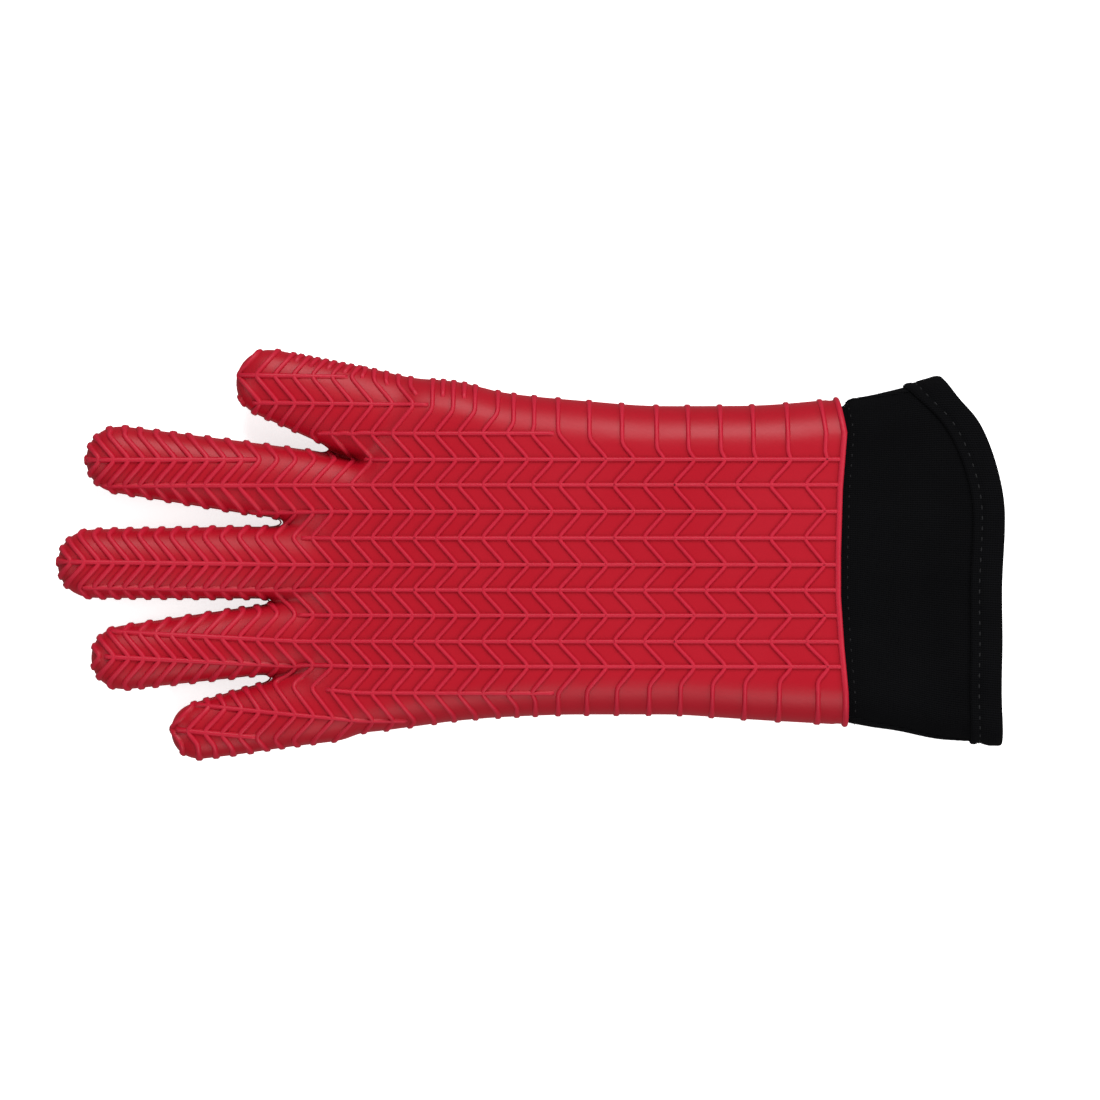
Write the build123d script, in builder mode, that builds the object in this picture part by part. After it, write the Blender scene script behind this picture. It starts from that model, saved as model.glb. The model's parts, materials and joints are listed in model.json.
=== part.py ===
"""A long silicone cooking glove with a sewn fabric liner and a knit sleeve, lying flat on a table.

Frame: fingers point to -X, the thumb is on the +Y side, +Z is up, and the origin is the
middle of the glove's footprint on the table. Millimetres.

The silicone glove is one moulding and the liner is one sewn glove. Both are cut across
wherever the glove flexes, so that each finger, the thumb and the wrist turns on a hinge
just under the surface it folds towards.
"""

from build123d import *

import os
from math import atan2, cos, degrees, hypot, pi, radians, sin, tan

# Wall build-up, from the rib crests inwards.
SILICONE = 2.8  # silicone wall, ribs included
SLACK = 0.3  # air between silicone and liner
FABRIC = 1.2  # knit, of the liner and the sleeve
LINER = SILICONE + SLACK  # depth of the liner's outer face
LINING = LINER + FABRIC  # depth of the liner's inner face

# Palm and gauntlet: x of a cross-section, its lowest y, highest y and top.
FRONT = -84.0
WRIST = 45.0
CUFF = 117.0
TRIM = 0.5  # what the table flattens off the underside
HAND = [
    (FRONT, -71.4, 39.0, 23.0),
    (-78.0, -70.4, 38.6, 24.6),
    (-72.0, -69.6, 37.6, 25.8),
    (-64.0, -68.4, 36.0, 27.0),
    (-56.0, -67.4, 44.0, 28.0),
    (-48.0, -66.3, 60.0, 28.9),
    (-42.0, -65.5, 65.2, 29.5),
    (-28.0, -63.6, 64.8, 30.8),
    (-8.0, -62.0, 60.8, 32.0),
    (20.0, -61.1, 58.0, 33.0),
    (50.0, -61.1, 56.0, 33.5),
    (80.0, -62.8, 56.1, 34.0),
    (CUFF, -65.0, 58.6, 35.0),
]
RIM_WIDTH = 2.4  # moulded bead round the gauntlet's edge
RIM_HEIGHT = 0.7
RIM_ROUND = 0.56

# Liner and sleeve meet inside the gauntlet. Sleeve sections: x, lowest y, highest y, underside, top.
JOIN = 108.0
SLEEVE = [
    (JOIN, -60.6, 54.0, 3.0, 31.3),
    (CUFF, -61.2, 54.6, 2.9, 31.4),
    (124.0, -64.0, 58.8, 2.2, 30.0),
    (136.0, -66.2, 61.4, 1.4, 27.6),
    (156.0, -69.6, 65.8, 1.3, 26.0),
    (180.0, -71.0, 68.4, 1.3, 25.0),
]

# The folded hem and its free edge, straight at the little finger's side and curving back at
# the thumb's.
MOUTH = 177.6
MOUTH_RADIUS = 73.6
MOUTH_TURN = 14.0  # y where the curve starts
HEM_WIDTH = 11.4
HEM_FOLD = 1.1  # how far the fold stands out from the sleeve

# Seams and stitches.
THREAD = 0.9
STITCH = 2.0
STITCH_PITCH = 3.75
HEM_STITCH_INSET = 2.8  # from the hem's inner edge
CUFF_STITCH_X = CUFF + 1.6
SEAM_RADIUS = 1.1
SEAM_START = CUFF_STITCH_X + 1.0
LINE_STEPS = 6  # rounds taken to settle a stitch on a row that slants

# Fingers: root x, y, tip x, y, half width at root and tip, thickness over width,
# distance from root to each hinge, and how far each hinge turns.
FINGERS = {
    "index": ((FRONT, 25.2), (-167.4, 37.2), 13.7, 12.9, 0.80, (10.0, 47.0), (75.0, 75.0)),
    "middle": ((FRONT, -3.0), (-178.2, -3.6), 14.0, 13.2, 0.80, (10.0, 52.0), (75.0, 75.0)),
    "ring": ((FRONT, -30.6), (-165.5, -40.6), 13.6, 12.3, 0.80, (10.0, 46.0), (75.0, 75.0)),
    "little": ((FRONT, -58.2), (-135.4, -68.7), 14.2, 11.0, 0.76, (10.0, 30.0), (75.0, 75.0)),
    "thumb": ((-50.0, 48.4), (-110.2, 67.4), 18.6, 13.1, 0.71, (29.0, 45.0), (50.0, 65.0)),
}
ROOT_DEPTH = 8.0  # how far a finger's tube runs back into the palm
FINGER_RISE = 0.3  # a finger's underside above the table

# Flexing places.
HINGE_DEPTH = 5.0  # a finger hinge's axis below the top of its finger
WRIST_DEPTH = 6.0
WRIST_TURN = 60.0
GAP = 0.4  # between the pieces on either side
SIDE_ROOM = 1.2  # by which a cut is wider than its finger
FAR = 300.0  # beyond everything
HEADROOM = 3.0


def section_plane(x, y, z):
    """A plane across the glove, its own x along +Y and its own y along +Z."""
    return Plane(origin=(x, y, z), x_dir=(0, 1, 0), z_dir=(1, 0, 0))


def slot_tube(stations, inset):
    """A solid through round-sided sections, each x, lowest y, highest y, underside, top."""
    with BuildPart() as tube:
        for x, low, high, bottom, top in stations:
            with BuildSketch(section_plane(x, (low + high) / 2, (bottom + top) / 2)):
                SlotOverall(high - low - 2 * inset, top - bottom - 2 * inset)
        loft(ruled=True)
    return tube.part


def hand_volume(inset):
    """Palm and gauntlet, with the front wall as thick as the sides."""
    stations = [(x, low, high, -TRIM, top) for x, low, high, top in HAND]
    with BuildPart() as hand:
        add(slot_tube(stations, inset))
        split(bisect_by=Plane.YZ.offset(FRONT + inset), keep=Keep.TOP)
    return hand.part


def rim_ring():
    """The bead round the gauntlet's open edge."""
    _, low, high, top = HAND[-1]
    with BuildPart() as ring:
        with BuildSketch(section_plane(CUFF, (low + high) / 2, (top - TRIM) / 2)):
            SlotOverall(high - low + 2 * RIM_HEIGHT, top + TRIM + 2 * RIM_HEIGHT)
        extrude(amount=-RIM_WIDTH)
        fillet(ring.edges().filter_by(GeomType.LINE, reverse=True), RIM_ROUND)
    return ring.part


def finger_direction(name):
    """The angle of a finger in plan, in degrees, and its length."""
    root, tip = FINGERS[name][0], FINGERS[name][1]
    run, rise = tip[0] - root[0], tip[1] - root[1]
    return degrees(atan2(rise, run)), hypot(run, rise)


def middle_height(name):
    """The height of a finger's middle line."""
    return FINGERS[name][2] * FINGERS[name][4] + FINGER_RISE


def half_width(name, along):
    """Half of a finger's width at a distance from its root."""
    root_half, tip_half = FINGERS[name][2], FINGERS[name][3]
    length = finger_direction(name)[1]
    return root_half + (tip_half - root_half) * along / (length - tip_half)


def hinge_height(name, along):
    """The height of a finger hinge's axis, a little under the top of the finger there."""
    return middle_height(name) + half_width(name, along) * FINGERS[name][4] - HINGE_DEPTH


def finger_plane(name, height):
    """A level plane at a finger's root, its own x along the finger."""
    angle = radians(finger_direction(name)[0])
    return Plane(origin=(*FINGERS[name][0], height), x_dir=(cos(angle), sin(angle), 0), z_dir=(0, 0, 1))


def finger_volume(name, inset):
    """A tapered round bar with a domed tip, flattened to the finger's thickness."""
    length = finger_direction(name)[1]
    flatness, tip_half = FINGERS[name][4], FINGERS[name][3]
    plane = finger_plane(name, 0)
    dome = length - tip_half
    with BuildPart() as finger:
        with BuildSketch(plane):
            with BuildLine():
                back = Line((-ROOT_DEPTH, 0), (-ROOT_DEPTH, half_width(name, -ROOT_DEPTH) - inset))
                side = Line(back @ 1, (dome, tip_half - inset))
                RadiusArc(side @ 1, (length - inset, 0), tip_half - inset)
                Line((length - inset, 0), (-ROOT_DEPTH, 0))
            make_face()
        revolve(axis=Axis(plane.origin, plane.x_dir))
        scale(by=(1, 1, (flatness * tip_half - inset) / (tip_half - inset)))
    return finger.part.moved(Location((0, 0, middle_height(name))))


def notch_edge(place, height, turn, side, ceiling):
    """The end of a piece at a hinge: square up to the axis, then sloped away from the fold."""
    start = place + side * GAP / 2
    slope = (ceiling - height) * tan(radians(turn / 2))
    return [(start, -HEADROOM), (start, height), (start + side * slope, ceiling)]


def side_block(name, corners, along):
    """The space within an outline seen from a finger's side, a little wider than the finger."""
    level = finger_plane(name, 0)
    upright = Plane(origin=level.origin, x_dir=level.x_dir, z_dir=level.x_dir.cross(Vector(0, 0, 1)))
    with BuildPart() as block:
        with BuildSketch(upright):
            Polygon(*corners, align=None)
        extrude(amount=half_width(name, along) + SIDE_ROOM, both=True)
    return block.part


def finger_block(name, first, last):
    """The space of a finger from one hinge to another. None as last runs past the tip."""
    hinges, turns = FINGERS[name][5], FINGERS[name][6]
    ceiling = middle_height(name) + FINGERS[name][2] * FINGERS[name][4] + HEADROOM
    corners = notch_edge(hinges[first], hinge_height(name, hinges[first]), turns[first], 1, ceiling)
    if last is None:
        corners += [(FAR, ceiling), (FAR, -HEADROOM)]
    else:
        height = hinge_height(name, hinges[last])
        corners += reversed(notch_edge(hinges[last], height, turns[last], -1, ceiling))
    return side_block(name, corners, hinges[first])


def hand_clearance(name):
    """The space from a finger's first hinge outwards, cut back on the hand's side of the fold."""
    place, turn = FINGERS[name][5][0], FINGERS[name][6][0]
    ceiling = middle_height(name) + FINGERS[name][2] * FINGERS[name][4] + HEADROOM
    corners = notch_edge(place, hinge_height(name, place), turn, -1, ceiling)
    corners += [(FAR, ceiling), (FAR, -HEADROOM)]
    return side_block(name, corners, place)


def wrist_block(side):
    """Everything on one side of the wrist: -1 for the hand, 1 for the gauntlet."""
    ceiling = HAND[-1][3] + HEADROOM
    corners = notch_edge(WRIST, wrist_height(), WRIST_TURN, side, ceiling)
    corners += [(side * FAR, ceiling), (side * FAR, -HEADROOM)]
    with BuildPart() as block:
        with BuildSketch(Plane.XZ):
            Polygon(*corners, align=None)
        extrude(amount=FAR, both=True)
    return block.part


def wrist_height():
    """The height of the wrist hinge's axis."""
    tops = [(x, top) for x, _, _, top in HAND]
    return between(tops, WRIST) - WRIST_DEPTH


def between(table, x):
    """A value read off a table of x and value pairs in a straight line between two entries."""
    for (first, start), (second, end) in zip(table, table[1:]):
        if x <= second:
            return start + (end - start) * (x - first) / (second - first)
    return table[-1][1]


def glove_volume(inset):
    """The outside of a whole glove, smaller by inset all round."""
    with BuildPart() as glove:
        add(hand_volume(inset))
        for name in FINGERS:
            add(finger_volume(name, inset))
    return glove.part


def hand_layer(outer, inner):
    """One layer of the palm and gauntlet, between two depths, open at the fingers and the cuff."""
    with BuildPart() as layer:
        add(glove_volume(outer))
        add(glove_volume(inner), mode=Mode.SUBTRACT)
        for name in FINGERS:
            add(hand_clearance(name), mode=Mode.SUBTRACT)
        split(bisect_by=Plane.XY, keep=Keep.TOP)
    return layer.part


def finger_layer(name, outer, inner, first, last):
    """One layer of a finger between two hinges."""
    with BuildPart() as layer:
        add(finger_volume(name, outer))
        add(finger_volume(name, inner), mode=Mode.SUBTRACT)
        add(finger_block(name, first, last), mode=Mode.INTERSECT)
    return layer.part


def mouth_block(depth):
    """Everything from the glove's middle to a line at a depth inside the sleeve's free edge."""
    radius = MOUTH_RADIUS - depth
    centre = (MOUTH - MOUTH_RADIUS, MOUTH_TURN)
    with BuildPart() as block:
        with BuildSketch(Plane.XY.offset(-HEADROOM)):
            with BuildLine():
                straight = Line((MOUTH - depth, -FAR), (MOUTH - depth, MOUTH_TURN))
                curve = CenterArc(centre, radius, 0, 90)
                Polyline(curve @ 1, (0, MOUTH_TURN + radius), (0, -FAR), straight @ 0)
            make_face()
        extrude(amount=HAND[-1][3] + 2 * HEADROOM)
    return block.part


def sleeve_section(x):
    """Lowest y, highest y, underside and top of the sleeve at x."""
    return [between([(row[0], row[column]) for row in SLEEVE], x) for column in range(1, 5)]


def stitch_at(x, share, proud):
    """A stitch lying across the sleeve at x, at a share of the way round it."""
    low, high, bottom, top = sleeve_section(x)
    radius = (top - bottom) / 2 + proud
    flat = high - low - (top - bottom)
    place = share * (2 * flat + 2 * pi * radius)
    middle_y, middle_z = (low + high) / 2, (bottom + top) / 2
    if place < flat:
        y, z, turn = middle_y - flat / 2 + place, middle_z + radius, 0
    elif place < flat + pi * radius:
        angle = (place - flat) / radius
        y, z, turn = middle_y + flat / 2 + radius * sin(angle), middle_z + radius * cos(angle), angle
    elif place < 2 * flat + pi * radius:
        y, z, turn = middle_y + 1.5 * flat + pi * radius - place, middle_z - radius, pi
    else:
        angle = pi + (place - 2 * flat - pi * radius) / radius
        y, z, turn = middle_y - flat / 2 + radius * sin(angle), middle_z + radius * cos(angle), angle
    return Location((x, y, z), (-degrees(turn), 0, 0))


def hem_line(y, depth):
    """The x of a line that runs at a depth inside the sleeve's free edge."""
    radius = MOUTH_RADIUS - depth
    rise = max(0.0, y - MOUTH_TURN)
    return MOUTH - MOUTH_RADIUS + (radius**2 - rise**2) ** 0.5


def stitch_row(line, proud):
    """A row of stitches all round the sleeve, where line gives the x of the row at a y."""
    low, high, bottom, top = sleeve_section(line(0))
    girth = 2 * (high - low - top + bottom) + pi * (top - bottom)
    count = round(girth / STITCH_PITCH)
    with BuildPart() as row:
        for number in range(count):
            x = line(0)
            for _ in range(LINE_STEPS):
                x = line(stitch_at(x, number / count, proud).position.Y)
            with Locations(stitch_at(x, number / count, proud)):
                Box(THREAD, STITCH, THREAD)
    return row.part


def side_seam(side, end):
    """A sewn ridge along one side of the sleeve, from the silicone to the hem."""
    points = []
    for x in (SEAM_START, 124, (124 + end) / 2, end):
        low, high, bottom, top = sleeve_section(x)
        points.append((x, high if side > 0 else low, (bottom + top) / 2))
    with BuildPart() as seam:
        with BuildLine():
            path = Spline(*points)
        with BuildSketch(Plane(origin=path @ 0, z_dir=path % 0)):
            Circle(SEAM_RADIUS)
        sweep()
    return seam.part


def save(part, name):
    """Write one piece to its own file."""
    part.label = name
    export_step(part, f"parts/{name}.step")


os.makedirs("parts", exist_ok=True)

# Silicone glove and its liner, each as a hand, a gauntlet and two lengths of every finger.
LAYERS = {"silicone": (0.0, SILICONE), "liner": (LINER, LINING)}
for layer, (outer, inner) in LAYERS.items():
    whole = hand_layer(outer, inner)
    with BuildPart() as hand:
        add(whole)
        add(wrist_block(-1), mode=Mode.INTERSECT)
    save(hand.part, f"hand_{layer}")
    with BuildPart() as gauntlet:
        add(whole)
        if layer == "silicone":
            add(rim_ring())
            add(glove_volume(SILICONE), mode=Mode.SUBTRACT)
            split(bisect_by=Plane.XY, keep=Keep.TOP)
        else:
            split(bisect_by=Plane.YZ.offset(JOIN), keep=Keep.BOTTOM)
        add(wrist_block(1), mode=Mode.INTERSECT)
    save(gauntlet.part, f"gauntlet_{layer}")
    for name in FINGERS:
        save(finger_layer(name, outer, inner, 0, 1), f"{name}_root_{layer}")
        save(finger_layer(name, outer, inner, 1, None), f"{name}_tip_{layer}")

# Knit sleeve, open at the mouth.
with BuildPart() as sleeve:
    add(slot_tube(SLEEVE, 0))
    add(slot_tube(SLEEVE, FABRIC), mode=Mode.SUBTRACT)
    add(mouth_block(FABRIC), mode=Mode.INTERSECT)
save(sleeve.part, "sleeve")

# Hem, folded round the sleeve's edge.
with BuildPart() as hem:
    add(slot_tube(SLEEVE, -HEM_FOLD))
    add(slot_tube(SLEEVE, FABRIC), mode=Mode.SUBTRACT)
    add(mouth_block(0), mode=Mode.INTERSECT)
    add(mouth_block(HEM_WIDTH), mode=Mode.SUBTRACT)
    add(sleeve.part, mode=Mode.SUBTRACT)
save(hem.part, "hem")

# Thread.
save(stitch_row(lambda y: hem_line(y, HEM_WIDTH - HEM_STITCH_INSET), HEM_FOLD), "hem_stitching")
save(stitch_row(lambda y: CUFF_STITCH_X, 0), "cuff_stitching")

# Side seams.
for name, side in {"thumb_side_seam": 1, "little_side_seam": -1}.items():
    edge = SLEEVE[-2][2] if side > 0 else SLEEVE[-2][1]
    save(side_seam(side, hem_line(edge, HEM_WIDTH) - GAP), name)
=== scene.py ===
import json
import math

import bmesh
import bpy
import numpy as np
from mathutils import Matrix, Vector


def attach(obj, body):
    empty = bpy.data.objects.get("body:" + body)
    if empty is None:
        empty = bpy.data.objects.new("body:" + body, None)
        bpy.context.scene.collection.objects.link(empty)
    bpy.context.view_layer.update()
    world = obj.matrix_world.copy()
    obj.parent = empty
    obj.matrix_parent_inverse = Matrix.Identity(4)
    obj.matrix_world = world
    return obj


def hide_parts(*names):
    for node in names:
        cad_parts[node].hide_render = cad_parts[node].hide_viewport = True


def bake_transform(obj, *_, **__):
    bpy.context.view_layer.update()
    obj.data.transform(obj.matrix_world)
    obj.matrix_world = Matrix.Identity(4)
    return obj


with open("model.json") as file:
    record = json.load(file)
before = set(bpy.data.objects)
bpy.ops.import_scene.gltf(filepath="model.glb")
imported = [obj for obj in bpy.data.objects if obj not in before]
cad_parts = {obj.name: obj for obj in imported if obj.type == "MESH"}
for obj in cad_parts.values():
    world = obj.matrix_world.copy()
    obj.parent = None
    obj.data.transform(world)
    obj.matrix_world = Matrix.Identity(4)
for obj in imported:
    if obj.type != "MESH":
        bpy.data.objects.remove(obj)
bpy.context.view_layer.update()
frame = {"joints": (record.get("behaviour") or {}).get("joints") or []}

MM = 0.001
JOINTS = {j["name"]: j for j in frame["joints"]}
FINGER_NAMES = ["index", "middle", "ring", "little", "thumb"]

# ---- Shape of the glove, in millimetres, close to the CAD's ----------------------------------

# x, lowest y, highest y, top of the palm and gauntlet at the rib crests
HAND = np.array(
    [
        (-84.0, -71.4, 39.0, 23.0),
        (-78.0, -70.4, 38.6, 24.6),
        (-72.0, -69.6, 37.6, 25.8),
        (-64.0, -68.4, 36.0, 27.0),
        (-56.0, -67.4, 44.0, 28.0),
        (-48.0, -66.3, 61.4, 28.9),
        (-42.0, -65.5, 66.6, 29.5),
        (-28.0, -63.6, 65.3, 30.8),
        (-8.0, -62.0, 60.8, 32.0),
        (20.0, -61.1, 58.0, 33.0),
        (50.0, -61.1, 56.0, 33.5),
        (80.0, -62.8, 56.1, 34.0),
        (117.0, -65.0, 58.6, 35.0),
    ]
)
CUFF = HAND[-1, 0]

# root x, y, tip x, y, half width at root and tip, thickness over width, cut where it leaves the hand
FINGERS = {
    "index": (-84.0, 25.2, -167.4, 37.2, 14.5, 13.3, 0.78, 3.0),
    "middle": (-84.0, -3.3, -178.2, -3.9, 14.5, 13.6, 0.79, 3.0),
    "ring": (-84.0, -30.4, -165.5, -40.8, 14.15, 12.7, 0.79, 3.0),
    "little": (-84.0, -58.2, -135.4, -69.0, 14.75, 11.4, 0.75, 3.0),
    "thumb": (-50.0, 48.7, -110.4, 68.1, 19.3, 13.6, 0.69, 23.0),
}
FINGER_RISE = 0.3
# how far the skin lies inside the rib crests, and the liner's outer face
RIB_HEIGHT = 0.9
LINER_IN = 3.4
# x of the palm's rounded nose: its front, and where the palm has its full height
NOSE, NOSE_BACK = -91.0, -79.0
# rounds of averaging over the fingers' roots, for points 1 mm apart
ROOT_ROUNDS = 40
# the slit between thumb and index finger: its ends, then its depth, half width and height
SLIT = np.array([(-61.5, 34.2), (-78.0, 38.6)])
SLIT_DEPTH, SLIT_HALF, SLIT_MIDDLE = 9.0, 1.7, 12.0
# x where the liner ends and the sleeve starts
JOIN = 108.0


class Finger:
    """One finger's middle line in plan, its widths, and where its pieces part."""

    def __init__(self, name):
        x, y, tip_x, tip_y, self.root_half, self.tip_half, self.flat, self.cut = FINGERS[name]
        self.name = name
        self.root = np.array([x, y])
        run = np.array([tip_x - x, tip_y - y])
        self.length = float(np.hypot(*run))
        self.way = run / self.length
        self.side = np.array([-self.way[1], self.way[0]])
        self.middle = self.root_half * self.flat + FINGER_RISE
        axes = [JOINTS[f"{name}_{part}_bend"]["pos_m"] for part in ("root", "tip")]
        self.hinges = [self.along(np.array(axis[:2]) / MM) for axis in axes]
        self.soft = min(7.0, self.hinges[0] - self.cut)
        self.part = (self.hinges[0] + self.hinges[1]) / 2

    def along(self, xy):
        return float((np.asarray(xy) - self.root) @ self.way)

    def place(self, xy):
        """Distance along the finger and to its side, for many points."""
        rel = xy - self.root
        return rel @ self.way, rel @ self.side

    def half(self, along):
        return self.root_half + (self.tip_half - self.root_half) * along / (self.length - self.tip_half)

    def point(self, along, height=0.0):
        """A point on the middle line, in metres."""
        x, y = self.root + self.way * along
        return (x * MM, y * MM, height * MM)


FINGER = {name: Finger(name) for name in FINGER_NAMES}
WRIST_X = JOINTS["wrist_fold"]["pos_m"][0] / MM
WRIST_SOFT = 15.0
WRIST_CUT = WRIST_X - WRIST_SOFT


def region_of(points):
    """Which piece each point belongs to: 0 hand, 1 gauntlet, then two for every finger."""
    region = np.where(points[:, 0] > WRIST_CUT, 1, 0)
    nearest = np.full(len(points), 1e9)
    for number, name in enumerate(FINGER_NAMES):
        finger = FINGER[name]
        along, side = finger.place(points[:, :2])
        reach = np.abs(side)
        mine = (along > finger.cut) & (reach < finger.half(along) + 2.0) & (reach < nearest)
        nearest = np.where(mine, reach, nearest)
        region = np.where(mine, 2 + 2 * number + (along > finger.part), region)
    return region


# ---- Base surface ----------------------------------------------------------------------------


def smooth_table(table, x):
    """Rows of a table at the given x, by monotone cubic steps so that nothing overshoots."""
    xs = table[:, 0]
    out = []
    for column in range(1, table.shape[1]):
        ys = table[:, column]
        steps = np.diff(ys) / np.diff(xs)
        slopes = np.zeros_like(ys)
        slopes[0], slopes[-1] = steps[0], steps[-1]
        for i in range(1, len(ys) - 1):
            if steps[i - 1] * steps[i] > 0:
                slopes[i] = 2 * steps[i - 1] * steps[i] / (steps[i - 1] + steps[i])
        spot = np.clip(np.searchsorted(xs, x) - 1, 0, len(xs) - 2)
        width = xs[spot + 1] - xs[spot]
        t = (x - xs[spot]) / width
        out.append(
            ys[spot] * (2 * t**3 - 3 * t**2 + 1)
            + slopes[spot] * width * (t**3 - 2 * t**2 + t)
            + ys[spot + 1] * (3 * t**2 - 2 * t**3)
            + slopes[spot + 1] * width * (t**3 - t**2)
        )
    return np.array(out).T


def slot_ring(x, low, high, bottom, top, count, crown=0.0):
    """Points round a section with round sides, with its top crowned a little."""
    radius = (top - bottom) / 2
    flat = max(high - low - 2 * radius, 0.0)
    girth = 2 * flat + 2 * math.pi * radius
    middle_y, middle_z = (low + high) / 2, (bottom + top) / 2
    ring = []
    for number in range(count):
        place = girth * number / count
        if place < flat:
            y, z = -flat / 2 + place, radius
        elif place < flat + math.pi * radius:
            turn = (place - flat) / radius
            y, z = flat / 2 + radius * math.sin(turn), radius * math.cos(turn)
        elif place < 2 * flat + math.pi * radius:
            y, z = 1.5 * flat + math.pi * radius - place, -radius
        else:
            turn = math.pi + (place - 2 * flat - math.pi * radius) / radius
            y, z = -flat / 2 + radius * math.sin(turn), radius * math.cos(turn)
        if z > 0:
            z += crown * (1 - (2 * y / (high - low)) ** 2) * z / radius
        ring.append((x, middle_y + y, middle_z + z))
    return ring


def loft_mesh(rings):
    """Vertices and faces of a closed tube through rings of equal count, with its ends closed."""
    count = len(rings[0])
    verts = [p for ring in rings for p in ring]
    faces = []
    for row in range(len(rings) - 1):
        for i in range(count):
            j = (i + 1) % count
            faces.append((row * count + i, row * count + j, (row + 1) * count + j, (row + 1) * count + i))
    faces.append(tuple(range(count - 1, -1, -1)))
    faces.append(tuple((len(rings) - 1) * count + i for i in range(count)))
    return verts, faces


def palm_rings(inset, end):
    """Sections of the palm and gauntlet, with a nose that thins out into the webs between the fingers."""
    low, high, top = HAND[0, 1:]
    half = (top - 2 * inset) / 2
    rings = []
    for turn in np.linspace(0.08, 0.5 * math.pi, 8)[:-1]:
        thin = half * math.sin(turn)
        x = NOSE_BACK + inset - (NOSE_BACK - NOSE) * math.cos(turn)
        pull = half - thin
        side = inset + 0.6 * pull
        ring = slot_ring(x, low + side, high - side, top / 2 - thin, top / 2 + thin, 180)
        rings.append([(x + web_back(y) * (1 - math.sin(turn)), y, z) for x, y, z in ring])
    xs = np.concatenate([[NOSE_BACK + inset], np.arange(NOSE_BACK + inset + 1.5, end - 1, 2.0), [end]])
    for x, (low, high, top) in zip(xs, smooth_table(HAND, xs)):
        rings.append(slot_ring(x, low + inset, high - inset, inset, top - inset, 180, crown=0.4))
    return rings


def web_back(y):
    """How much nearer the wrist the web before the little finger stands than the other webs."""
    return float(np.interp(y, [-52.0, -46.0, -34.0, -26.0], [8.0, 7.0, 2.0, 0.0]))


def finger_rings(finger, inset):
    start = -14.0
    dome = finger.length - finger.tip_half
    stations = [(a, finger.half(a)) for a in np.arange(start, dome, 2.0)]
    stations += [
        (dome + finger.tip_half * math.sin(turn), finger.tip_half * math.cos(turn))
        for turn in np.linspace(0, math.pi / 2 - 0.02, 12)
    ]
    rings = []
    for along, half in stations:
        shrink = 1 - inset / finger.tip_half if along > dome else 1.0
        wide = (half - inset) if along <= dome else half * shrink
        place = along if along <= dome else dome + (along - dome) * shrink
        full = finger.half(min(along, dome))
        tall = wide * (full * finger.flat - inset) / (full - inset)
        lift = root_lift(finger, along)
        ring = []
        for i in range(64):
            turn = 2 * math.pi * i / 64
            c, s = math.cos(turn), math.sin(turn)
            u = math.copysign(abs(c) ** 0.9, c) * wide
            v = math.copysign(abs(s) ** 0.9, s) * tall
            x, y = finger.root + finger.way * place + finger.side * u
            ring.append((x, y, finger.middle + v * (1 + lift / tall) + lift))
        rings.append(ring)
    return rings


def root_lift(finger, along):
    """Half of the extra thickness by which a finger swells up to the palm's top."""
    if finger.name == "thumb":
        return 0.0
    share = min(1.0, max(0.0, (26.0 - along) / 26.0))
    return 1.1 * share * share * (3 - 2 * share)


def cuff_wave(y):
    """How far the silicone's edge wanders along x."""
    return np.interp(y, [-64, -52, -34, -16, 0, 24, 45, 58], [2.4, 1.9, 0.2, -1.0, -1.0, -0.3, 1.4, -0.9])


def skin_mesh(name, inset, end, voxel, rounds):
    """One closed surface over hand and fingers, with soft webs between them."""
    bm = bmesh.new()
    for rings in [palm_rings(inset, end)] + [finger_rings(f, inset) for f in FINGER.values()]:
        verts, faces = loft_mesh(rings)
        made = [bm.verts.new((x * MM, y * MM, z * MM)) for x, y, z in verts]
        for face in faces:
            bm.faces.new([made[i] for i in face])
    bmesh.ops.recalc_face_normals(bm, faces=bm.faces)
    mesh = bpy.data.meshes.new(name)
    bm.to_mesh(mesh)
    bm.free()
    obj = bpy.data.objects.new(name, mesh)
    bpy.context.scene.collection.objects.link(obj)
    remesh = obj.modifiers.new("remesh", "REMESH")
    remesh.mode = "VOXEL"
    remesh.voxel_size = voxel * MM
    smooth = obj.modifiers.new("smooth", "SMOOTH")
    smooth.factor = 0.5
    smooth.iterations = rounds
    graph = bpy.context.evaluated_depsgraph_get()
    final = bpy.data.meshes.new_from_object(obj.evaluated_get(graph))
    bpy.data.objects.remove(obj)
    melt_roots(final, int(ROOT_ROUNDS / voxel**2))
    return final


def melt_roots(mesh, rounds):
    """Lets the fingers' roots flow into the palm, by averaging each point there with its neighbours."""
    verts = np.zeros(len(mesh.vertices) * 3)
    mesh.vertices.foreach_get("co", verts)
    verts = verts.reshape(-1, 3) / MM
    edges = np.zeros(len(mesh.edges) * 2, int)
    mesh.edges.foreach_get("vertices", edges)
    first, second = edges.reshape(-1, 2).T
    degree = np.bincount(edges, minlength=len(verts)).astype(float)
    share = np.interp(verts[:, 0], [-108, -92, -72, -54], [0, 1, 1, 0])
    share = share * np.interp(verts[:, 1], [30, 38], [1, 0.15])
    thumb = FINGER["thumb"]
    along, side = thumb.place(verts[:, :2])
    base = np.interp(along, [-16, -6, 4, 12], [0, 1, 1, 0]) * (np.abs(side) < 30)
    share = (0.55 * np.maximum(share, base))[:, None]
    for _ in range(rounds):
        total = np.zeros_like(verts)
        for axis in range(3):
            total[:, axis] = np.bincount(first, verts[second, axis], len(verts))
            total[:, axis] += np.bincount(second, verts[first, axis], len(verts))
        verts += share * (total / degree[:, None] - verts)
    verts[:, 2] -= slit(verts)
    mesh.vertices.foreach_set("co", (verts * MM).reshape(-1))
    mesh.update()


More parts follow.
